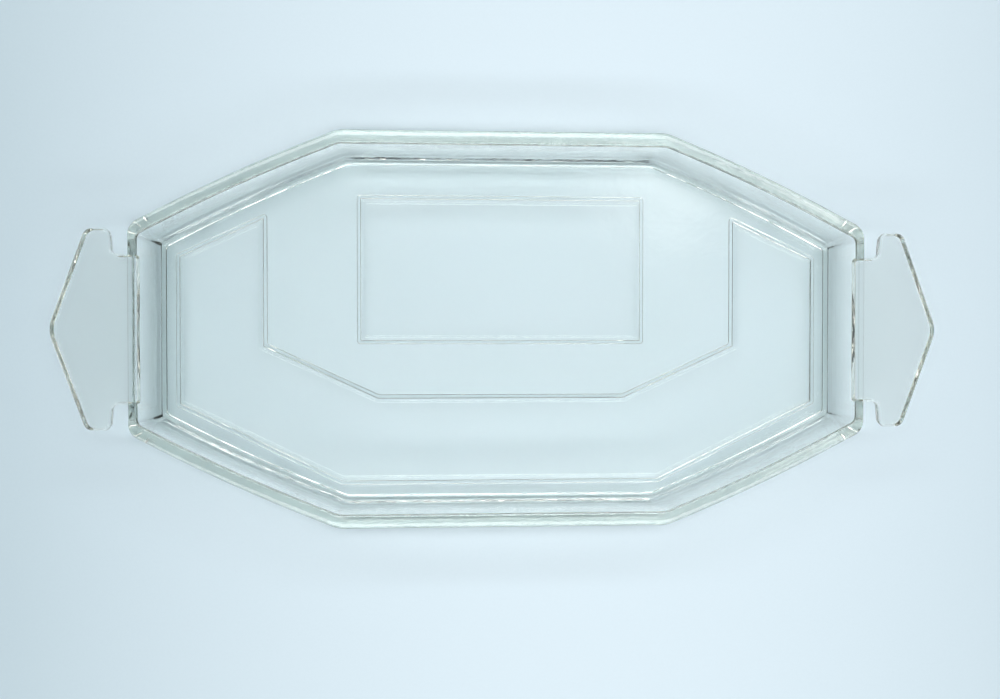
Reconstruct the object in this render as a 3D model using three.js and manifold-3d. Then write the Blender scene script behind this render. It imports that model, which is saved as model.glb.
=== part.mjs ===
// Pressed-glass serving tray: an elongated octagonal dish with a pointed tab handle at each end
// and a geometric relief pressed into the underside of its floor.
// Millimetres, +Z up. The origin is the middle of the underside and +X runs along the tray.
// The tray is one moulding. It is modelled as its floor, its eight walls and its two handles,
// which meet face to face with a small gap.
import * as THREE from 'three';
import { mergeVertices } from 'three/addons/utils/BufferGeometryUtils.js';
import Module from 'manifold-3d';

// ---- driving dimensions, mm ----
const RIM_HALF_LENGTH = 144.7; // middle to the outer face of an end wall, at the rim
const RIM_HALF_WIDTH = 77.7; // middle to the outer face of a long wall, at the rim
const END_WALL_HALF = 40.6; // half of an end wall, to the octagon's sharp corner
const LONG_WALL_HALF = 65.2; // half of a long wall, to the octagon's sharp corner
const HEIGHT = 24;
const FLOOR_THICKNESS = 4;
const RIM_WIDTH = { end: 3.6, corner: 5.2, long: 5.5 };
const INNER_DRAFT = 2.4; // how far the inner face leans in from rim to floor
const OUTER_DRAFT = 3.1; // how far the outer face leans in from rim to base
const INNER_HOLLOW = 0.45; // how far the inner face curves in behind a straight line
const FLOOR_FILLET = 1.6;
const BASE_ROUNDING = 0.8;
const RIM_OUTER_ROUNDING = 0.6;
const RIM_INNER_ROUNDING = 1;
const RIM_CROWN_RADIUS = 14; // the outer part of the rim's top is gently crowned
const RIM_CROWN_TURN = THREE.MathUtils.degToRad(8); // its slope at the outer rounding
const END_CORNER_RADIUS = 6.5; // between an end wall and a corner wall, on the rim's outer edge
const LONG_CORNER_RADIUS = 15; // between a long wall and a corner wall
const LEAST_CORNER_RADIUS = 2;
const CORNER_WALL_BOW = 1.2; // the corner walls swell outwards by this much at their middle
const FOOT_HEIGHT = 0.6; // the standing rim under the walls lifts the floor by this much
const FOOT_INSET = 3.1; // the standing rim's inner edge, from the rim's inner edge
const FOOT_BEVEL = 0.4;
const GAP = 0.3; // between neighbouring bodies

const HANDLE_TOP = 22.8;
const HANDLE_THICKNESS = 4.6;
const HANDLE_TIP = 175.44; // sharp point, before it is rounded
const HANDLE_SHOULDER = 161.2; // outer corner of an ear
const HANDLE_HALF_SPAN = 39.13; // middle to the end of an ear
const EAR_INNER_FACE = 151.9; // at the end of an ear
const NECK_END = 151.1; // where an ear's inner face would meet the neck's edge
const NECK_HALF = 29.1;
const NOTCH_RADIUS = 2.4;
const ROOT_OVERLAP = 4;
const EAR_CORNER_RADIUS = 3;
const SHOULDER_RADIUS = 4;
const TIP_RADIUS = 12;
const HANDLE_UPPER_EDGE = 1.2; // rounding of the upper edge
const HANDLE_LOWER_EDGE = 1;
const HANDLE_LEAN = THREE.MathUtils.degToRad(15); // the sides lean in towards the underside

const RELIEF_DEPTH = 1.2;
const RELIEF_RISER = { run: 0.18, rise: 0.3 }; // each of the two steps around a relief panel
const RELIEF_TREAD = 1.25;
const RELIEF_SLOPE = 1.2; // run of the last slope, above the two steps
const PANEL_END = 133.8; // C-shaped panel: its outer end line
const PANEL_END_HALF = 31.2;
const PANEL_FRONT = -64.3; // its line along the front long wall
const PANEL_FRONT_HALF = 66.4;
const PANEL_ARM_X = 96.8; // inner line of its two arms
const PANEL_ARM_TOP = 48.6;
const PANEL_ARM_BEND = -5.6;
const PANEL_INNER_FRONT = -26.8;
const PANEL_INNER_HALF = 51;
const RECTANGLE_HALF_LENGTH = 60;
const RECTANGLE_BACK = 56.2;
const RECTANGLE_FRONT = -5.7;

const CORNER_STEPS = 6; // facets around each rounded vertical corner, an even number
const BOW_STEPS = 4;
const ARC_STEPS = 3; // facets of each small rounding in a section
const HOLLOW_STEPS = 3;
const OUTLINE_ARC_STEPS = 6; // facets of each rounded corner of a handle, an even number

const GLASS = { color: 0xd4e6e2, roughness: 0.03, metalness: 0, flatShading: true };

const wasm = await Module();
wasm.setup();

// ---- general geometry ----

// Points of an arc about (cx, cy), both ends included.
function arc(cx, cy, radius, startAngle, endAngle, steps) {
  return Array.from({ length: steps + 1 }, (_, i) => {
    const angle = startAngle + ((endAngle - startAngle) * i) / steps;
    return new THREE.Vector2(cx + radius * Math.cos(angle), cy + radius * Math.sin(angle));
  });
}

// Triangles over a flat, closed section, facing the way that the section winds.
function capTriangles(section) {
  const normal = new THREE.Vector3();
  section.forEach((point, i) => normal.add(point.clone().cross(section[(i + 1) % section.length])));
  normal.normalize();
  const helper = Math.abs(normal.z) < 0.9 ? new THREE.Vector3(0, 0, 1) : new THREE.Vector3(1, 0, 0);
  const u = helper.cross(normal).normalize();
  const v = normal.clone().cross(u);
  const flat = section.map((point) => new THREE.Vector2(point.dot(u), point.dot(v)));
  return THREE.ShapeUtils.triangulateShape(flat, []).map(([a, b, c]) => {
    const turn = flat[b].clone().sub(flat[a]).cross(flat[c].clone().sub(flat[a]));
    return turn > 0 ? [a, b, c] : [a, c, b];
  });
}

// A closed body skinned over a row of sections with equal point counts. Each section winds
// anticlockwise when seen from the last section's side.
function skinnedBody(sections) {
  const count = sections[0].length;
  const last = (sections.length - 1) * count;
  const indices = [];
  for (let row = 0; row < last; row += count) {
    for (let i = 0; i < count; i += 1) {
      const j = (i + 1) % count;
      indices.push(row + i, row + j, row + count + j, row + i, row + count + j, row + count + i);
    }
  }
  capTriangles(sections[0]).forEach(([a, b, c]) => indices.push(a, c, b));
  capTriangles(sections.at(-1)).forEach(([a, b, c]) => indices.push(last + a, last + b, last + c));
  const geometry = new THREE.BufferGeometry().setFromPoints(sections.flat());
  geometry.setIndex(indices);
  return geometry;
}

function toSolid(geometry) {
  const merged = mergeVertices(geometry);
  return new wasm.Manifold(
    new wasm.Mesh({
      numProp: 3,
      vertProperties: merged.getAttribute('position').array,
      triVerts: Uint32Array.from(merged.getIndex().array),
    }),
  );
}

function fromSolid(solid) {
  const mesh = solid.getMesh();
  const geometry = new THREE.BufferGeometry();
  geometry.setAttribute('position', new THREE.BufferAttribute(mesh.vertProperties, 3));
  geometry.setIndex(new THREE.BufferAttribute(mesh.triVerts, 1));
  return geometry;
}

function glassMesh(name, geometry) {
  geometry.computeVertexNormals();
  const mesh = new THREE.Mesh(geometry, new THREE.MeshStandardMaterial(GLASS));
  mesh.name = name;
  return mesh;
}

// ---- the octagon ----

// Eight sides in anticlockwise order, starting at the +X end wall. Each side is a straight line
// at its own distance from the middle.
const cornerNormal = new THREE.Vector2(
  RIM_HALF_WIDTH - END_WALL_HALF,
  RIM_HALF_LENGTH - LONG_WALL_HALF,
).normalize();
const cornerAngle = cornerNormal.angle();
const CORNER_DISTANCE = cornerNormal.dot(new THREE.Vector2(RIM_HALF_LENGTH, END_WALL_HALF));
const SIDES = [
  { name: 'end_wall_right', kind: 'end', angle: 0 },
  { name: 'corner_wall_back_right', kind: 'corner', angle: cornerAngle },
  { name: 'long_wall_back', kind: 'long', angle: Math.PI / 2 },
  { name: 'corner_wall_back_left', kind: 'corner', angle: Math.PI - cornerAngle },
  { name: 'end_wall_left', kind: 'end', angle: Math.PI },
  { name: 'corner_wall_front_left', kind: 'corner', angle: Math.PI + cornerAngle },
  { name: 'long_wall_front', kind: 'long', angle: (3 * Math.PI) / 2 },
  { name: 'corner_wall_front_right', kind: 'corner', angle: 2 * Math.PI - cornerAngle },
];
const OUTER_DISTANCE = { end: RIM_HALF_LENGTH, corner: CORNER_DISTANCE, long: RIM_HALF_WIDTH };

const direction = (angle) => new THREE.Vector2(Math.cos(angle), Math.sin(angle));

// The octagon drawn in by rimShare of each wall's rim width and by inset more. The result holds
// one entry per side: the far half of the corner before it, its bow, and the near half of the
// corner after it. Neighbouring entries share the middle of their corner.
function octagonSides(rimShare, inset) {
  const distance = SIDES.map(({ kind }) => OUTER_DISTANCE[kind] - rimShare * RIM_WIDTH[kind] - inset);
  const corners = SIDES.map((side, i) => {
    const next = (i + 1) % SIDES.length;
    const from = side.angle;
    const to = SIDES[next].angle + (next === 0 ? 2 * Math.PI : 0);
    const turn = to - from;
    const n0 = direction(from);
    const n1 = direction(to);
    const sharp = new THREE.Vector2(
      distance[i] * n1.y - distance[next] * n0.y,
      distance[next] * n0.x - distance[i] * n1.x,
    ).divideScalar(n0.cross(n1));
    const atEnd = side.kind === 'end' || SIDES[next].kind === 'end';
    const inward = rimShare * (atEnd ? RIM_WIDTH.end : RIM_WIDTH.long) + inset;
    const outerRadius = atEnd ? END_CORNER_RADIUS : LONG_CORNER_RADIUS;
    const radius = Math.max(outerRadius - inward, LEAST_CORNER_RADIUS);
    const middle = direction(from + turn / 2).multiplyScalar(radius / Math.cos(turn / 2));
    const centre = sharp.sub(middle);
    return arc(centre.x, centre.y, radius, from, to, CORNER_STEPS);
  });
  return SIDES.map(({ kind, angle }, i) => {
    const before = corners[(i + SIDES.length - 1) % SIDES.length].slice(CORNER_STEPS / 2);
    const after = corners[i].slice(0, CORNER_STEPS / 2 + 1);
    const bow = [];
    for (let k = 1; k < BOW_STEPS && kind === 'corner'; k += 1) {
      const t = k / BOW_STEPS;
      const swell = CORNER_WALL_BOW * 4 * t * (1 - t);
      bow.push(before.at(-1).clone().lerp(after[0], t).add(direction(angle).multiplyScalar(swell)));
    }
    return [...before, ...bow, ...after];
  });
}

// The same octagon as one closed outline.
function octagonOutline(rimShare, inset) {
  return octagonSides(rimShare, inset).flatMap((side) => side.slice(0, -1));
}

// ---- walls ----

// The crown's centre, as { x: inset, y: height }, and the centre of the rounding outside it.
const CROWN_SPAN = RIM_CROWN_RADIUS - RIM_OUTER_ROUNDING;
const CROWN_CENTRE = new THREE.Vector2(
  RIM_OUTER_ROUNDING + CROWN_SPAN * Math.sin(RIM_CROWN_TURN),
  HEIGHT - RIM_CROWN_RADIUS,
);
const OUTER_EDGE_Z = CROWN_CENTRE.y + CROWN_SPAN * Math.cos(RIM_CROWN_TURN);

// The wall's section as { rimShare, inset, z }. rimShare 0 is the outer face and 1 the inner face.
// It runs up from the floor, over the rim, down the outer face and back under the base.
function wallSection() {
  const quarter = Math.PI / 2;
  const baseCentre = OUTER_DRAFT + BASE_ROUNDING;
  const outer = RIM_OUTER_ROUNDING;
  const inner = RIM_INNER_ROUNDING;
  const crownStart = quarter + RIM_CROWN_TURN;
  const base = arc(baseCentre, BASE_ROUNDING, BASE_ROUNDING, 3 * quarter, 2 * quarter, ARC_STEPS);
  const outerEdge = arc(outer, OUTER_EDGE_Z, outer, 2 * quarter, crownStart, ARC_STEPS);
  const { x, y } = CROWN_CENTRE;
  const crown = arc(x, y, RIM_CROWN_RADIUS, crownStart, quarter, ARC_STEPS).slice(1);
  const innerEdge = arc(-inner, HEIGHT - inner, inner, quarter, 0, ARC_STEPS);
  const fillet = arc(
    INNER_DRAFT + FLOOR_FILLET,
    FLOOR_THICKNESS + FLOOR_FILLET,
    FLOOR_FILLET,
    2 * quarter,
    3 * quarter,
    ARC_STEPS,
  );
  const hollow = [];
  for (let k = 1; k < HOLLOW_STEPS; k += 1) {
    const t = k / HOLLOW_STEPS;
    const swell = new THREE.Vector2(INNER_HOLLOW * 4 * t * (1 - t), 0);
    hollow.push(innerEdge.at(-1).clone().lerp(fillet[0], t).sub(swell));
  }
  const foot = [
    new THREE.Vector2(INNER_DRAFT + FLOOR_FILLET, FOOT_HEIGHT),
    new THREE.Vector2(FOOT_INSET + FOOT_BEVEL, FOOT_HEIGHT),
    new THREE.Vector2(FOOT_INSET, 0),
  ];
  const point = (rimShare) => ({ x, y }) => ({ rimShare, inset: x, z: y });
  return [
    ...[...base, ...outerEdge, ...crown].map(point(0)),
    ...[...innerEdge, ...hollow, ...fillet, ...foot].map(point(1)),
  ].reverse();
}

// One side of the octagon as a body, trimmed by half a gap at the middle of each corner.
function wallBody(index) {
  const lines = wallSection().map(({ rimShare, inset, z }) =>
    octagonSides(rimShare, inset)[index].map((p) => new THREE.Vector3(p.x, p.y, z)),
  );
  const stations = lines[0].map((_, i) => lines.map((line) => line[i]));
  const trim = (end, neighbour) => {
    const along = neighbour[0].clone().sub(end[0]).setLength(GAP / 2);
    return end.map((p) => p.clone().add(along));
  };
  stations[0] = trim(stations[0], stations[1]);
  stations.push(trim(stations.pop(), stations.at(-1)));
  return skinnedBody(stations);
}

// ---- floor ----

// A closed anticlockwise outline drawn in by a distance, with mitred corners.
function drawnIn(outline, distance) {
  return outline.map((point, i) => {
    const before = outline[(i + outline.length - 1) % outline.length];
    const after = outline[(i + 1) % outline.length];
    const a = point.clone().sub(before).normalize();
    const b = after.clone().sub(point).normalize();
    const normalA = new THREE.Vector2(-a.y, a.x);
    const normalB = new THREE.Vector2(-b.y, b.x);
    const mitre = normalA.add(normalB);
    return point.clone().addScaledVector(mitre, (2 * distance) / mitre.lengthSq());
  });
}

const atHeight = (outline, z) => outline.map((p) => new THREE.Vector3(p.x, p.y, z));

// A shallow panel pressed up into the underside of the floor, with two small steps and a slope
// around its edge.
function reliefPanel(outline) {
  const { run, rise } = RELIEF_RISER;
  const second = run + RELIEF_TREAD;
  const level = (distance, height) => atHeight(drawnIn(outline, distance), FOOT_HEIGHT + height);
  return toSolid(
    skinnedBody([
      level(0, -1),
      level(0, 0),
      level(run, rise),
      level(second, rise),
      level(second + run, 2 * rise),
      level(second + run + RELIEF_SLOPE, RELIEF_DEPTH),
    ]),
  );
}

function floorPanel() {
  const edge = octagonOutline(1, INNER_DRAFT + FLOOR_FILLET + GAP);
  const plate = toSolid(skinnedBody([atHeight(edge, FOOT_HEIGHT), atHeight(edge, FLOOR_THICKNESS)]));
  const rightHalf = [
    [PANEL_FRONT_HALF, PANEL_FRONT],
    [PANEL_END, -PANEL_END_HALF],
    [PANEL_END, PANEL_END_HALF],
    [PANEL_ARM_X, PANEL_ARM_TOP],
    [PANEL_ARM_X, PANEL_ARM_BEND],
    [PANEL_INNER_HALF, PANEL_INNER_FRONT],
  ];
  const leftHalf = rightHalf.map(([x, y]) => [-x, y]).reverse();
  const cPanel = [...rightHalf, ...leftHalf].map(([x, y]) => new THREE.Vector2(x, y));
  const rectangle = [
    [-RECTANGLE_HALF_LENGTH, RECTANGLE_FRONT],
    [RECTANGLE_HALF_LENGTH, RECTANGLE_FRONT],
    [RECTANGLE_HALF_LENGTH, RECTANGLE_BACK],
    [-RECTANGLE_HALF_LENGTH, RECTANGLE_BACK],
  ].map(([x, y]) => new THREE.Vector2(x, y));
  return fromSolid(plate.subtract(reliefPanel(cPanel)).subtract(reliefPanel(rectangle)));
}

// ---- handles ----

// A closed outline with each corner { x, y, r } rounded by its own radius.
function roundedOutline(corners) {
  return corners.flatMap(({ x, y, r }, i) => {
    const corner = new THREE.Vector2(x, y);
    if (r === 0) {
      return [corner];
    }
    const before = corners[(i + corners.length - 1) % corners.length];
    const after = corners[(i + 1) % corners.length];
    const toBefore = new THREE.Vector2(before.x, before.y).sub(corner).normalize();
    const toAfter = new THREE.Vector2(after.x, after.y).sub(corner).normalize();
    const half = Math.acos(toBefore.dot(toAfter)) / 2;
    const centre = toBefore.clone().add(toAfter).setLength(r / Math.sin(half)).add(corner);
    const start = toBefore.multiplyScalar(r / Math.tan(half)).add(corner).sub(centre);
    const end = toAfter.multiplyScalar(r / Math.tan(half)).add(corner).sub(centre);
    const turn = Math.atan2(start.cross(end), start.dot(end));
    return arc(centre.x, centre.y, r, start.angle(), start.angle() + turn, OUTLINE_ARC_STEPS);
  });
}

// Where the end wall's leaning outer face is, at a height between its two roundings.
function outerFaceX(z) {
  return RIM_HALF_LENGTH - (OUTER_DRAFT * (OUTER_EDGE_Z - z)) / (OUTER_EDGE_Z - BASE_ROUNDING);
}

// A handle's edge as levels { inset, z }, from its underside to its top. The upper rounding
// has its widest point on one of the levels.
function handleLevels() {
  const quarter = Math.PI / 2;
  const side = 2 * quarter + HANDLE_LEAN;
  const lowZ = HANDLE_TOP - HANDLE_THICKNESS + HANDLE_LOWER_EDGE;
  const highZ = HANDLE_TOP - HANDLE_UPPER_EDGE;
  const rounding = (HANDLE_UPPER_EDGE - HANDLE_LOWER_EDGE) / Math.cos(HANDLE_LEAN);
  const lowX = HANDLE_UPPER_EDGE + (highZ - lowZ) * Math.tan(HANDLE_LEAN) - rounding;
  const lower = arc(lowX, lowZ, HANDLE_LOWER_EDGE, 3 * quarter, side, ARC_STEPS);
  const flank = arc(HANDLE_UPPER_EDGE, highZ, HANDLE_UPPER_EDGE, side, 2 * quarter, 1);
  const upper = arc(HANDLE_UPPER_EDGE, highZ, HANDLE_UPPER_EDGE, 2 * quarter, quarter, ARC_STEPS);
  return [...lower, ...flank, ...upper.slice(1)].map(({ x, y }) => ({ inset: x, z: y }));
}

// The +X handle: a neck on the end wall, a round-bottomed notch above and below it, and a
// pointed outer edge. It is drawn a little way into the wall and then cut off in front of it.
function handleBody() {
  const lowerHalf = [
    { x: RIM_HALF_LENGTH - ROOT_OVERLAP, y: -NECK_HALF, r: 0 },
    { x: NECK_END, y: -NECK_HALF, r: NOTCH_RADIUS },
    { x: EAR_INNER_FACE, y: -HANDLE_HALF_SPAN, r: EAR_CORNER_RADIUS },
    { x: HANDLE_SHOULDER, y: -HANDLE_HALF_SPAN, r: SHOULDER_RADIUS },
  ];
  const upperHalf = lowerHalf.map(({ x, y, r }) => ({ x, y: -y, r })).reverse();
  const tip = { x: HANDLE_TIP, y: 0, r: TIP_RADIUS };
  const outline = roundedOutline([...lowerHalf, tip, ...upperHalf]);
  const plate = handleLevels().map(({ inset, z }) => atHeight(drawnIn(outline, inset), z));
  const wallSpace = [0, HEIGHT].map((z) => {
    const front = outerFaceX(z) + GAP;
    const back = front - 2 * ROOT_OVERLAP;
    const side = 2 * NECK_HALF;
    const corners = [[back, -side], [front, -side], [front, side], [back, side]];
    return corners.map(([x, y]) => new THREE.Vector3(x, y, z));
  });
  return fromSolid(toSolid(skinnedBody(plate)).subtract(toSolid(skinnedBody(wallSpace))));
}

// ---- assembly ----

const tray = new THREE.Group();
tray.name = 'pressed_glass_tray';
tray.add(glassMesh('floor_panel', floorPanel()));
SIDES.forEach(({ name }, i) => tray.add(glassMesh(name, wallBody(i))));
tray.add(glassMesh('handle_right', handleBody()));
const leftHandle = glassMesh('handle_left', handleBody());
leftHandle.rotation.z = Math.PI;
tray.add(leftHandle);

export default tray;
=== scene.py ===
"""Looks of the pressed-glass tray: one continuous glass moulding on pale paper in soft light.

Sizes are in millimetres in the shape code and become metres when the mesh is made. The main
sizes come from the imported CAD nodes. +X runs along the tray, +Z is up.
"""

import math

import bmesh
import bpy
from mathutils import Matrix, Vector
from mathutils.geometry import tessellate_polygon


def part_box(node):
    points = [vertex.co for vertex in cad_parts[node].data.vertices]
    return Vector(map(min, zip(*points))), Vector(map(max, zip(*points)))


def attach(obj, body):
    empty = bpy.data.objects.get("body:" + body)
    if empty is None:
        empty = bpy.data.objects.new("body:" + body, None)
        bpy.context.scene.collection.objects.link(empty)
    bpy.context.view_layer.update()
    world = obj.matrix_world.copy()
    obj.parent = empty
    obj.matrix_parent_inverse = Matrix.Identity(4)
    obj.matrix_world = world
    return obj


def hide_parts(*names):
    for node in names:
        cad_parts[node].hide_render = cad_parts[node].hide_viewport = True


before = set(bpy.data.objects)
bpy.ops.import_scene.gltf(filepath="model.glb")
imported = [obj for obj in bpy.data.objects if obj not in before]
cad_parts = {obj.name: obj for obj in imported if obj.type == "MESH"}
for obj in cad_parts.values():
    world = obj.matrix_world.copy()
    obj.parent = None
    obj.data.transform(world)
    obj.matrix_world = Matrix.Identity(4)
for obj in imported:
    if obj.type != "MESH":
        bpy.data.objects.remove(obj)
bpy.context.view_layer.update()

MM = 0.001


def box_mm(node):
    """Lowest and highest corner of a CAD node, in millimetres."""
    low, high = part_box(node)
    return low / MM, high / MM


# ---- sizes from the CAD frame ----
RIM_X = box_mm("end_wall_right")[1].x
RIM_Y = box_mm("long_wall_back")[1].y
HEIGHT = box_mm("long_wall_back")[1].z
FLOOR = box_mm("floor_panel")[1].z
HANDLE_LOW = box_mm("handle_right")[0].z
HANDLE_HIGH = box_mm("handle_right")[1].z
HANDLE_REACH = box_mm("handle_right")[1].x
EAR_Y = box_mm("handle_right")[1].y

# ---- details of the moulding, as the CAD has them ----
END_WALL_HALF = 40.6  # half of an end wall, to the octagon's sharp corner
LONG_WALL_HALF = 65.2
RIM_WIDTH = {"end": 3.6, "corner": 5.2, "long": 5.5}
INNER_DRAFT = 2.4
OUTER_DRAFT = 3.1
FLOOR_FILLET = 1.6
INNER_HOLLOW = 0.45  # how far the inner face curves in behind a straight line
BASE_ROUNDING = 0.8
RIM_OUTER_ROUNDING = 0.6
RIM_INNER_ROUNDING = 1.0
RIM_CROWN_RADIUS = 14.0  # the outer part of the rim's top is gently crowned
RIM_CROWN_TURN = math.radians(8)
CORNER_RADIUS = {"end": 6.5, "long": 15.0}
LEAST_CORNER_RADIUS = 2.0
CORNER_WALL_BOW = 1.2

HANDLE_SHOULDER = 161.2
EAR_INNER_FACE = 151.9
NECK_END = 151.1  # where the ear's inner face would meet the neck's edge
NECK_HALF = 29.1
NOTCH_RADIUS = 2.4
EAR_CORNER_RADIUS = 3.0
SHOULDER_RADIUS = 4.0
TIP_RADIUS = 12.0
TIP_RECESS = 0.77  # how far the rounded tip stops short of its sharp point
HANDLE_LOWER_EDGE = 1.0
HANDLE_UPPER_EDGE = 1.2
HANDLE_LEAN = math.radians(15)  # the side leans in towards the underside by this much
ROOT_FILLET = 0.4

FOOT_HEIGHT = 0.6  # the standing rim under the wall
FOOT_BEVEL = 0.4
FOOT_INSET = 3.1  # the standing rim's inner edge, from the rim's inner edge
RELIEF_DEPTH = 1.2
RELIEF_RISER = (0.18, 0.3)  # run and rise of each step
RELIEF_TREAD = 1.25
RELIEF_EDGE = 0.08
RELIEF_SWEEP = 2.4
RELIEF_CORNER_RADIUS = 1.4
LEAST_RELIEF_RADIUS = 0.2
RECTANGLE = [(-60, -5.7), (60, -5.7), (60, 56.2), (-60, 56.2)]
PANEL_RIGHT_HALF = [
    (66.4, -64.3),
    (133.8, -31.2),
    (133.8, 31.2),
    (96.8, 48.6),
    (96.8, -5.6),
    (51, -26.8),
]

# ---- finish of the glass: heights in millimetres, scales of noise per metre ----
MOULD_SWIRL = 0.1
SWIRL_SCALE = 55.0
MOULD_RIPPLE = 0.025
RIPPLE_SCALE = 420.0
SCRATCH_DEPTH = 0.002
SCRATCH_ROUGHNESS = 0.12
SCRATCH_WAYS = [  # turn and stretch of two families of scratches
    ((0, 0, 0.6), (12, 2600, 12)),
    ((0, 0, -0.9), (2300, 14, 14)),
]
SCRATCH_STEP = (0.73, 0.76)  # a streak becomes a scratch over this range of its noise
WEAR_SCALE = 45.0
WEAR_STEP = (0.5, 0.7)  # and only where the slower noise of wear is above this range
GLASS_IOR = 1.51
CLEAR_TINT = (0.995, 0.998, 0.987, 1)
CLOUDY_TINT = (0.975, 0.985, 0.969, 1)
CLOUD_SCALE = 25.0
ABSORPTION_COLOR = (0.88, 0.89, 0.81, 1)
ABSORPTION_DENSITY = 22.0

# ---- the paper and the shades painted on it ----
PAPER_COLOR = (0.77, 0.905, 0.985, 1)
PAPER_ROUGHNESS = 0.9
SHADE_COLOR = (0, 0.12, 0.15, 1)
PAPER_HALF = 2.5  # metres
PAPER_Z = -0.0001  # metres
SIDE_SHADE_CENTRE = 0.045  # metres along the tray; the paper is brightest here
SIDE_SHADE_RISE = 4.4
SIDE_SHADE_MOST = 0.27
GRAIN = 0.03
GRAIN_SCALE = 900.0
WALL_SHADE = 0.24
WALL_SHADE_INSET = 3  # the shade is deepest this far inside the rim's outline
WALL_SHADE_REACH = 14

# ---- light ----
# Softboxes of the studio, all far away: the way towards each, its half width and half height as
# tangents, the softness of its edges and its strength.
SOFTBOXES = [
    ((0, 1, 0.84), 1.15, 0.06, 0.5, 6.15),
    ((0, -1, 0.84), 1.15, 0.06, 0.5, 6.15),
    ((0, 1, 2.6), 0.7, 0.09, 0.5, 4.7),
    ((0, -1, 2.6), 0.7, 0.09, 0.5, 4.7),
    ((0.27, 0.21, 1), 0.07, 0.07, 0.9, 1.6),
]
HORIZON_END = 0.1  # the room's glow at the horizon, beyond the tray's ends
HORIZON_SIDE = 0.2  # and beyond its long sides
LEAST_DEPTH = 0.001  # keeps a softbox from showing behind its own back

# ---- camera: metres and degrees ----
CAMERA_PLACE = (-0.0171, -0.0041, 0.3372)
CAMERA_TILT_X = -0.67
CAMERA_TILT_Y = -2.83
SENSOR_WIDTH_MM = 36
LENS_MM = 28.8

# ---- facets ----
CORNER_STEPS = 14
BOW_STEPS = 10
ARC_STEPS = 6
FACE_STEPS = 8
HANDLE_ARC_STEPS = 8
RELIEF_STEPS = 6
SHARP_EDGE = math.radians(32)

# The outer face ends at this height, where the rim's outer edge and then its crown begin.
CROWN_RISE = (RIM_CROWN_RADIUS - RIM_OUTER_ROUNDING) * (1 - math.cos(RIM_CROWN_TURN))
OUTER_EDGE_Z = HEIGHT - RIM_OUTER_ROUNDING - CROWN_RISE


# ---- plane geometry ----
def direction(angle):
    return Vector((math.cos(angle), math.sin(angle)))


def arc(centre, radius, start, end, steps):
    """Points of an arc, both ends included."""
    centre = Vector(centre)
    turn = (end - start) / steps
    return [centre + radius * direction(start + turn * i) for i in range(steps + 1)]


def rounded(corners, steps):
    """The inner corners of an open path of (x, y, radius), each rounded; its two ends are kept."""
    points = [Vector(corners[0][:2])]
    for before, corner, after in zip(corners, corners[1:], corners[2:]):
        at = Vector(corner[:2])
        back = (Vector(before[:2]) - at).normalized()
        ahead = (Vector(after[:2]) - at).normalized()
        half = back.angle(ahead) / 2
        centre = at + (back + ahead).normalized() * corner[2] / math.sin(half)
        start = at + back * corner[2] / math.tan(half) - centre
        end = at + ahead * corner[2] / math.tan(half) - centre
        first = math.atan2(start.y, start.x)
        turn = math.atan2(start.x * end.y - start.y * end.x, start.dot(end))
        points += arc(centre, corner[2], first, first + turn, steps)
    return points + [Vector(corners[-1][:2])]


def drawn_in(outline, distance):
    """A closed anticlockwise outline moved inwards by a distance, with mitred corners."""
    moved = []
    for i, point in enumerate(outline):
        ahead = (outline[(i + 1) % len(outline)] - point).normalized()
        back = (point - outline[i - 1]).normalized()
        mitre = Vector((-ahead.y - back.y, ahead.x + back.x))
        moved.append(point + mitre * 2 * distance / mitre.length_squared)
    return moved


# ---- the growing mesh ----
vertices = []
faces = []


def ring(points):
    """Adds points in millimetres and gives their numbers."""
    first = len(vertices)
    vertices.extend(Vector(p) * MM for p in points)
    return list(range(first, len(vertices)))


def bridge(lower, upper, closed=True, skip=()):
    """Quads between two rows of vertices with equal counts."""
    count = len(lower)
    for i in range(count if closed else count - 1):
        if i not in skip:
            j = (i + 1) % count
            faces.append((lower[i], lower[j], upper[j], upper[i]))


def fill(*loops):
    """Triangles over a flat area: its outer loop, then its holes."""
    numbers = [n for loop in loops for n in loop]
    triangles = tessellate_polygon([[vertices[n] / MM for n in loop] for loop in loops])
    faces.extend(tuple(numbers[k] for k in triangle) for triangle in triangles)


# ---- the octagon ----
corner_normal = Vector((RIM_Y - END_WALL_HALF, RIM_X - LONG_WALL_HALF)).normalized()
corner_angle = math.atan2(corner_normal.y, corner_normal.x)
OUTER_DISTANCE = {
    "end": RIM_X,
    "corner": corner_normal.dot(Vector((RIM_X, END_WALL_HALF))),
    "long": RIM_Y,
}
SIDES = [
    ("end", 0.0),
    ("corner", corner_angle),
    ("long", math.pi / 2),
    ("corner", math.pi - corner_angle),
    ("end", math.pi),
    ("corner", math.pi + corner_angle),
    ("long", 1.5 * math.pi),
    ("corner", 2 * math.pi - corner_angle),
]


def octagon_corner(i, distances, rim_share, inset):
    """The rounded corner between side i and the next, from one side to the other."""
    following = (i + 1) % len(SIDES)
    start = SIDES[i][1]
    end = SIDES[following][1] + (2 * math.pi if following == 0 else 0)
    n0, n1 = direction(start), direction(end)
    d0, d1 = distances[i], distances[following]
    cross = n0.x * n1.y - n0.y * n1.x
    sharp = Vector((d0 * n1.y - d1 * n0.y, d1 * n0.x - d0 * n1.x)) / cross
    kind = "end" if "end" in (SIDES[i][0], SIDES[following][0]) else "long"
    radius = CORNER_RADIUS[kind] - rim_share * RIM_WIDTH[kind] - inset
    radius = max(radius, LEAST_CORNER_RADIUS)
    reach = radius / math.cos((end - start) / 2)
    centre = sharp - direction((start + end) / 2) * reach
    return arc(centre, radius, start, end, CORNER_STEPS)


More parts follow.
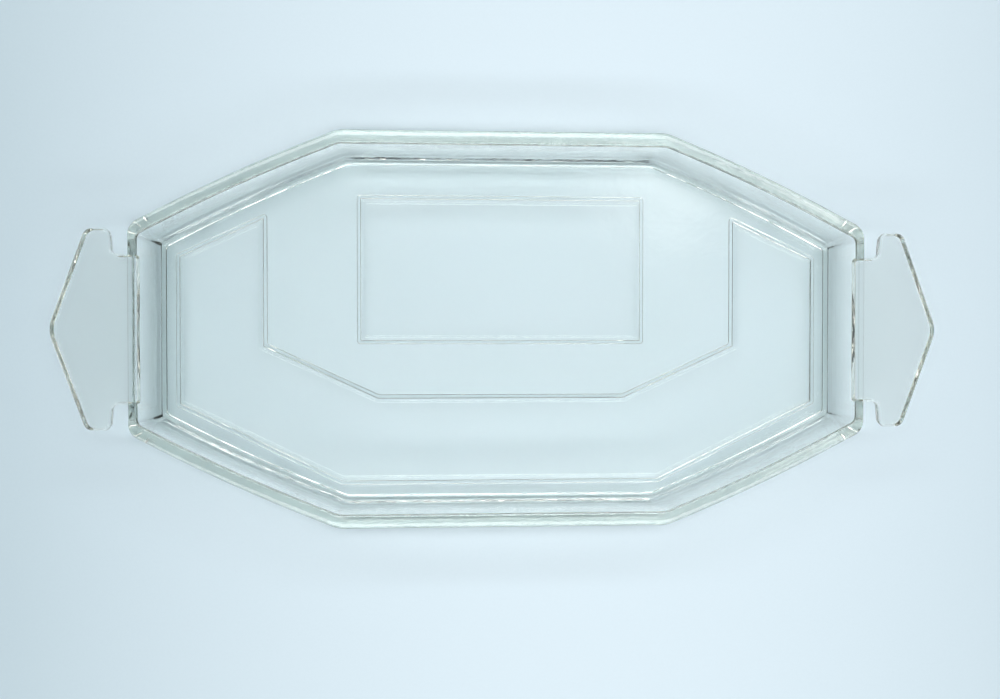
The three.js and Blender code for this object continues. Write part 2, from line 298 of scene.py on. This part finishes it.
def octagon(rim_share, inset):
    """The octagon's closed outline, drawn in by a share of the rim's width and by inset more.

    Each side contributes its bow and then the corner after it.
    """
    distances = [OUTER_DISTANCE[kind] - rim_share * RIM_WIDTH[kind] - inset for kind, _ in SIDES]
    corners = [octagon_corner(i, distances, rim_share, inset) for i in range(len(SIDES))]
    outline = []
    for i, (kind, angle) in enumerate(SIDES):
        start, end = corners[i - 1][-1], corners[i][0]
        for k in range(1, BOW_STEPS if kind == "corner" else 0):
            t = k / BOW_STEPS
            swell = CORNER_WALL_BOW * 4 * t * (1 - t)
            outline.append(start.lerp(end, t) + direction(angle) * swell)
        outline += corners[i]
    return outline


def swollen(start, end, swell):
    """Points between two ends, carried aside by up to swell."""
    shares = [k / FACE_STEPS for k in range(1, FACE_STEPS)]
    return [start.lerp(end, t) + Vector((swell * 4 * t * (1 - t), 0)) for t in shares]


def wall_section():
    """The wall's section as (rim share, inset, z): from the base up the outside to the floor."""
    quarter = math.pi / 2
    base_centre = (OUTER_DRAFT + BASE_ROUNDING, BASE_ROUNDING)
    base = arc(base_centre, BASE_ROUNDING, 3 * quarter, 2 * quarter, ARC_STEPS)
    steep = quarter + RIM_CROWN_TURN
    outer_centre = Vector((RIM_OUTER_ROUNDING, OUTER_EDGE_Z))
    crown_centre = outer_centre - direction(steep) * (RIM_CROWN_RADIUS - RIM_OUTER_ROUNDING)
    outer_edge = arc(outer_centre, RIM_OUTER_ROUNDING, 2 * quarter, steep, ARC_STEPS)
    outer_edge += arc(crown_centre, RIM_CROWN_RADIUS, steep, quarter, ARC_STEPS)[1:]
    inner_centre = (-RIM_INNER_ROUNDING, HEIGHT - RIM_INNER_ROUNDING)
    inner_edge = arc(inner_centre, RIM_INNER_ROUNDING, quarter, 0, ARC_STEPS)
    fillet_centre = (INNER_DRAFT + FLOOR_FILLET, FLOOR + FLOOR_FILLET)
    fillet = arc(fillet_centre, FLOOR_FILLET, 2 * quarter, 3 * quarter, ARC_STEPS)
    inner_face = swollen(inner_edge[-1], fillet[0], -INNER_HOLLOW)
    foot = [(1, FOOT_INSET + FOOT_BEVEL, FOOT_HEIGHT), (1, FOOT_INSET, 0)]
    outside = [(0, p.x, p.y) for p in base + outer_edge]
    inside = [(1, p.x, p.y) for p in inner_edge + inner_face + fillet]
    return foot, outside, inside


# ---- handles ----
def outer_face_x(z):
    """Where the end wall's leaning outer face is, at a height between its two roundings."""
    low, high = BASE_ROUNDING, OUTER_EDGE_Z
    return RIM_X - OUTER_DRAFT * (high - z) / (high - low)


def handle_levels():
    """The handle's edge, from its underside up, as (drawn in by, z, sideways, upwards).

    The last two are the way that the surface faces.
    """
    side = math.pi + HANDLE_LEAN
    high = Vector((HANDLE_UPPER_EDGE, HANDLE_HIGH - HANDLE_UPPER_EDGE))
    drop = high.y - HANDLE_LOW - HANDLE_LOWER_EDGE
    run = drop * math.tan(HANDLE_LEAN)
    run += (HANDLE_LOWER_EDGE - HANDLE_UPPER_EDGE) / math.cos(HANDLE_LEAN)
    low = high + Vector((run, -drop))
    levels = []
    for centre, radius, start, end in (
        (low, HANDLE_LOWER_EDGE, 1.5 * math.pi, side),
        (high, HANDLE_UPPER_EDGE, side, 0.5 * math.pi),
    ):
        for p in arc(centre, radius, start, end, ARC_STEPS):
            outwards = (p - centre).normalized()
            levels.append((p.x, p.y, -outwards.x, outwards.y))
    return levels


def handle_outline():
    """The handle from above, from its root on the -Y side round the tip to the +Y side."""
    lower = [
        (RIM_X, -NECK_HALF, 0),
        (NECK_END, -NECK_HALF, NOTCH_RADIUS),
        (EAR_INNER_FACE, -EAR_Y, EAR_CORNER_RADIUS),
        (HANDLE_SHOULDER, -EAR_Y, SHOULDER_RADIUS),
    ]
    tip = (HANDLE_REACH + TIP_RECESS, 0, TIP_RADIUS)
    upper = [(x, -y, r) for x, y, r in reversed(lower)]
    return rounded([*lower, tip, *upper], HANDLE_ARC_STEPS)


def add_handle(wall_corners, turned):
    """Builds a handle and joins it to the end wall's outer face, whose four corners are given."""
    sign = -1 if turned else 1
    outline = handle_outline()
    starts, ends, rows = [], [], []
    for inset, z, sideways, upwards in handle_levels():
        root_x = outer_face_x(z) + ROOT_FILLET
        path = drawn_in(outline, inset)
        path[0] = Vector((root_x, -NECK_HALF + inset))
        path[-1] = Vector((root_x, NECK_HALF - inset))
        rows.append(ring((sign * p.x, sign * p.y, z) for p in path))
        starts.append((path[0].y, z, -sideways, upwards))
        ends.append((path[-1].y, z, sideways, upwards))
    for lower, upper in zip(rows, rows[1:]):
        bridge(lower, upper, closed=False)
    fill(rows[0])
    fill(rows[-1])
    root = starts + ends[::-1]
    previous = [row[0] for row in rows] + [row[-1] for row in reversed(rows)]
    for step in range(1, ARC_STEPS + 1):
        angle = 0.5 * math.pi * step / ARC_STEPS
        points = []
        out = ROOT_FILLET * (1 - math.cos(angle))
        for y, z, ny, nz in root:
            y_here, z_here = y + ny * out, z + nz * out
            x_here = outer_face_x(z_here) + ROOT_FILLET * (1 - math.sin(angle))
            points.append((sign * x_here, sign * y_here, z_here))
        current = ring(points)
        bridge(previous, current)
        previous = current
    fill(wall_corners, previous)


# ---- relief under the floor ----
def relief_section():
    """A panel's edge as (drawn in by, rise): two small steps, then a soft sweep up to the panel."""
    second = RELIEF_TREAD + RELIEF_RISER[0]
    corners = [
        (-1, 0, 0),
        (0, 0, RELIEF_EDGE),
        (*RELIEF_RISER, RELIEF_EDGE),
        (second, RELIEF_RISER[1], RELIEF_EDGE),
        (second + RELIEF_RISER[0], 2 * RELIEF_RISER[1], RELIEF_EDGE),
        (second + RELIEF_RISER[0] + RELIEF_SWEEP / 2, RELIEF_DEPTH, 2 * RELIEF_SWEEP),
        (second + RELIEF_RISER[0] + 2 * RELIEF_SWEEP, RELIEF_DEPTH, 0),
    ]
    return rounded(corners, RELIEF_STEPS)[1:-1]


def add_relief(corners):
    """A shallow panel with stepped edges, pressed up into the underside. Gives its outer loop."""
    loops = []
    for inset, rise in relief_section():
        sharp = drawn_in(corners, inset)
        radius = max(RELIEF_CORNER_RADIUS - inset, LEAST_RELIEF_RADIUS)
        halfway = (sharp[0] + sharp[-1]) / 2
        path = [halfway, *sharp, halfway]
        outline = rounded([(p.x, p.y, radius) for p in path], CORNER_STEPS)[1:-1]
        loops.append(ring((p.x, p.y, FOOT_HEIGHT + rise) for p in outline))
    for lower, upper in zip(loops, loops[1:]):
        bridge(lower, upper)
    fill(loops[-1])
    return loops[0]


# ---- the whole moulding ----
def build_tray():
    foot, outside, inside = wall_section()
    section = foot + outside + inside
    rings = [ring((p.x, p.y, z) for p in octagon(share, inset)) for share, inset, z in section]
    tall = len(foot) + ARC_STEPS  # the outer face runs between these two rings
    count = len(rings[0])
    end_right = count - 1  # the straight stretch of each end wall starts at these vertices
    end_left = 4 * (CORNER_STEPS + 1) + 2 * (BOW_STEPS - 1) - 1
    for i, (lower, upper) in enumerate(zip(rings, rings[1:])):
        bridge(lower, upper, skip=(end_right, end_left) if i == tall else ())
    for start, turned in ((end_right, False), (end_left, True)):
        following = (start + 1) % count
        lower, upper = rings[tall], rings[tall + 1]
        add_handle([lower[start], lower[following], upper[following], upper[start]], turned)
    fill(rings[-1])
    left_half = [(-x, y) for x, y in reversed(PANEL_RIGHT_HALF)]
    panel = add_relief([Vector(p) for p in PANEL_RIGHT_HALF + left_half])
    rectangle = add_relief([Vector(p) for p in RECTANGLE])
    fill(rings[0], panel, rectangle)


def tray_object():
    build_tray()
    mesh = bpy.data.meshes.new("pressed_glass_tray")
    mesh.from_pydata([tuple(v) for v in vertices], [], faces)
    bm = bmesh.new()
    bm.from_mesh(mesh)
    bmesh.ops.recalc_face_normals(bm, faces=bm.faces)
    open_edges = sum(not e.is_manifold for e in bm.edges)
    if open_edges:
        raise ValueError(f"the tray's mesh has {open_edges} open or shared edges")
    bm.to_mesh(mesh)
    bm.free()
    mesh.shade_smooth()
    mesh.set_sharp_from_angle(angle=SHARP_EDGE)
    tray = bpy.data.objects.new("pressed_glass_tray", mesh)
    bpy.context.scene.collection.objects.link(tray)
    weighted = tray.modifiers.new("flat faces stay flat", "WEIGHTED_NORMAL")
    weighted.keep_sharp = True
    return tray


# ---- materials ----
class Nodes:
    """Adds nodes to one node tree. Numbers are set on a socket and outputs are linked to it."""

    def __init__(self, tree):
        self.tree = tree

    def add(self, kind, output=0, **values):
        node = self.tree.nodes.new(kind)
        for name, value in values.items():
            self.put(node.inputs[name.replace("_", " ")], value)
        return node.outputs[output]

    def put(self, socket, value):
        if isinstance(value, bpy.types.NodeSocket):
            self.tree.links.new(value, socket)
        else:
            socket.default_value = value

    def math(self, operation, *values):
        node = self.tree.nodes.new("ShaderNodeMath")
        node.operation = operation
        for socket, value in zip(node.inputs, values):
            self.put(socket, value)
        return node.outputs[0]

    def mapped(self, value, from_range, to_range):
        """A smooth step from one range to another, flat beyond both."""
        node = self.tree.nodes.new("ShaderNodeMapRange")
        node.interpolation_type = "SMOOTHSTEP"
        self.put(node.inputs["Value"], value)
        low, high = from_range
        node.inputs["From Min"].default_value = low
        node.inputs["From Max"].default_value = high
        node.inputs["To Min"].default_value, node.inputs["To Max"].default_value = to_range
        return node.outputs["Result"]

    def noise(self, place, scale, detail):
        return self.add("ShaderNodeTexNoise", "Fac", Vector=place, Scale=scale, Detail=detail)

    def streaks(self, place, turn, stretch):
        """Noise drawn out into thin lines along one direction."""
        turned = self.add("ShaderNodeMapping", Vector=place, Rotation=turn, Scale=stretch)
        return self.noise(turned, 1.0, 0.0)

    def blend(self, factor, first, second):
        node = self.tree.nodes.new("ShaderNodeMix")
        node.data_type = "RGBA"
        self.put(node.inputs["Factor"], factor)
        node.inputs[6].default_value = first
        node.inputs[7].default_value = second
        return node.outputs[2]


def glass_material():
    """Clear glass with a faint green tint, ripples left by the mould and a few fine scratches."""
    material = bpy.data.materials.new("pressed_glass")
    material.use_nodes = True
    nodes = Nodes(material.node_tree)
    shader = material.node_tree.nodes["Principled BSDF"]
    shader.inputs["IOR"].default_value = GLASS_IOR
    shader.inputs["Transmission Weight"].default_value = 1.0
    place = nodes.add("ShaderNodeTexCoord", "Object")

    clouds = nodes.noise(place, CLOUD_SCALE, 2.0)
    tint = nodes.blend(clouds, CLEAR_TINT, CLOUDY_TINT)
    nodes.put(shader.inputs["Base Color"], tint)

    one_way, other_way = (nodes.streaks(place, *way) for way in SCRATCH_WAYS)
    lines = nodes.math("MAXIMUM", one_way, other_way)
    scratches = nodes.mapped(lines, SCRATCH_STEP, (0.0, 1.0))
    worn = nodes.mapped(nodes.noise(place, WEAR_SCALE, 1.0), WEAR_STEP, (0.0, 1.0))
    scratches = nodes.math("MULTIPLY", scratches, worn)
    nodes.put(shader.inputs["Roughness"], nodes.math("MULTIPLY", scratches, SCRATCH_ROUGHNESS))

    swirl = nodes.math("MULTIPLY", nodes.noise(place, SWIRL_SCALE, 1.0), MOULD_SWIRL)
    ripple = nodes.math("MULTIPLY", nodes.noise(place, RIPPLE_SCALE, 1.0), MOULD_RIPPLE)
    cut = nodes.math("MULTIPLY", scratches, -SCRATCH_DEPTH)
    height = nodes.math("ADD", nodes.math("ADD", swirl, ripple), cut)
    bump = nodes.add("ShaderNodeBump", "Normal", Strength=1.0, Distance=MM, Height=height)
    nodes.put(shader.inputs["Normal"], bump)

    absorption = material.node_tree.nodes.new("ShaderNodeVolumeAbsorption")
    absorption.inputs["Color"].default_value = ABSORPTION_COLOR
    absorption.inputs["Density"].default_value = ABSORPTION_DENSITY
    output = material.node_tree.nodes["Material Output"]
    nodes.put(output.inputs["Volume"], absorption.outputs["Volume"])
    return material


def paper_material():
    """Pale blue-white paper with a faint grain and two painted shades.

    One slowly darkens its left and right, and the other softly follows the tray's walls.
    """
    material = bpy.data.materials.new("pale_paper")
    material.use_nodes = True
    nodes = Nodes(material.node_tree)
    shader = material.node_tree.nodes["Principled BSDF"]
    place = nodes.add("ShaderNodeTexCoord", "Object")
    x = nodes.add("ShaderNodeSeparateXYZ", "X", Vector=place)
    y = nodes.add("ShaderNodeSeparateXYZ", "Y", Vector=place)
    aside = nodes.math("ABSOLUTE", nodes.math("SUBTRACT", x, SIDE_SHADE_CENTRE))
    shade = nodes.math("MULTIPLY", nodes.math("POWER", aside, 2.0), SIDE_SHADE_RISE)
    shade = nodes.math("MINIMUM", shade, SIDE_SHADE_MOST)
    grain = nodes.math("MULTIPLY", nodes.noise(place, GRAIN_SCALE, 3.0), GRAIN)
    shade = nodes.math("ADD", shade, grain)

    far_x = nodes.math("ABSOLUTE", x)
    far_y = nodes.math("ABSOLUTE", y)
    outside = nodes.math("MULTIPLY", far_y, corner_normal.y)
    outside = nodes.math("MULTIPLY_ADD", far_x, corner_normal.x, outside)
    outside = nodes.math("SUBTRACT", outside, OUTER_DISTANCE["corner"] * MM)
    for far, kind in ((far_x, "end"), (far_y, "long")):
        beyond = nodes.math("SUBTRACT", far, OUTER_DISTANCE[kind] * MM)
        outside = nodes.math("MAXIMUM", outside, beyond)
    away = nodes.math("ABSOLUTE", nodes.math("ADD", outside, WALL_SHADE_INSET * MM))
    wall_shade = nodes.mapped(away, (0.0, WALL_SHADE_REACH * MM), (WALL_SHADE, 0.0))
    shade = nodes.math("ADD", shade, wall_shade)
    nodes.put(shader.inputs["Base Color"], nodes.blend(shade, PAPER_COLOR, SHADE_COLOR))
    shader.inputs["Roughness"].default_value = PAPER_ROUGHNESS
    return material


# ---- surroundings ----
def add_floor():
    mesh = bpy.data.meshes.new("paper")
    signs = ((-1, -1), (1, -1), (1, 1), (-1, 1))
    corners = [(sx * PAPER_HALF, sy * PAPER_HALF, PAPER_Z) for sx, sy in signs]
    mesh.from_pydata(corners, [], [(0, 1, 2, 3)])
    floor = bpy.data.objects.new("paper", mesh)
    bpy.context.scene.collection.objects.link(floor)
    floor.data.materials.append(paper_material())


def light_world():
    """A dim room with a low and a high softbox beyond each long side and a weak one overhead."""
    world = bpy.data.worlds.new("soft_studio")
    bpy.context.scene.world = world
    world.use_nodes = True
    nodes = Nodes(world.node_tree)
    background = world.node_tree.nodes["Background"]
    way = nodes.add("ShaderNodeTexCoord", "Generated")

    def along(axis):
        dot = world.node_tree.nodes.new("ShaderNodeVectorMath")
        dot.operation = "DOT_PRODUCT"
        nodes.put(dot.inputs[0], way)
        dot.inputs[1].default_value = axis
        return dot.outputs["Value"]

    def faded(offset, depth, half, softness):
        """1 inside the box and 0 outside, across one direction."""
        tangent = nodes.math("ABSOLUTE", nodes.math("DIVIDE", offset, depth))
        share = nodes.math("DIVIDE", tangent, half)
        return nodes.mapped(share, (1 - softness, 1 + softness), (1.0, 0.0))

    aside = nodes.math("ABSOLUTE", along((0, 1, 0)))
    glow = nodes.math("MULTIPLY_ADD", aside, HORIZON_SIDE - HORIZON_END, HORIZON_END)
    height = nodes.math("MAXIMUM", along((0, 0, 1)), 0.0)
    total = nodes.math("MULTIPLY", nodes.math("SUBTRACT", 1.0, height), glow)
    for towards, half_width, half_height, softness, strength in SOFTBOXES:
        centre = Vector(towards).normalized()
        side = Vector((0, 0, 1)).cross(centre).normalized()
        up = centre.cross(side)
        depth = nodes.math("MAXIMUM", along(centre), LEAST_DEPTH)
        across = faded(along(side), depth, half_width, softness)
        upright = faded(along(up), depth, half_height, softness)
        lit = nodes.math("MULTIPLY", nodes.math("MULTIPLY", across, upright), strength)
        total = nodes.math("ADD", total, lit)
    nodes.put(background.inputs["Strength"], total)
    background.inputs["Color"].default_value = (1, 1, 1, 1)


def add_camera():
    """Almost straight above the tray, a little to its left and tilted by three degrees."""
    data = bpy.data.cameras.new("camera")
    data.sensor_fit = "HORIZONTAL"
    data.sensor_width = SENSOR_WIDTH_MM
    data.lens = LENS_MM
    camera = bpy.data.objects.new("camera", data)
    bpy.context.scene.collection.objects.link(camera)
    place = Matrix.Translation(CAMERA_PLACE)
    tilt_x = Matrix.Rotation(math.radians(CAMERA_TILT_X), 4, "X")
    tilt_y = Matrix.Rotation(math.radians(CAMERA_TILT_Y), 4, "Y")
    camera.matrix_world = place @ tilt_y @ tilt_x
    bpy.context.scene.camera = camera


add_camera()
add_floor()
light_world()
tray = tray_object()
tray.data.materials.append(glass_material())
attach(tray, "root")
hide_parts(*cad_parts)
bpy.context.scene.view_settings.view_transform = "Standard"
cycles = bpy.context.scene.cycles
cycles.blur_glossy = 0.0
cycles.max_bounces = 32
cycles.transmission_bounces = 32
cycles.glossy_bounces = 16
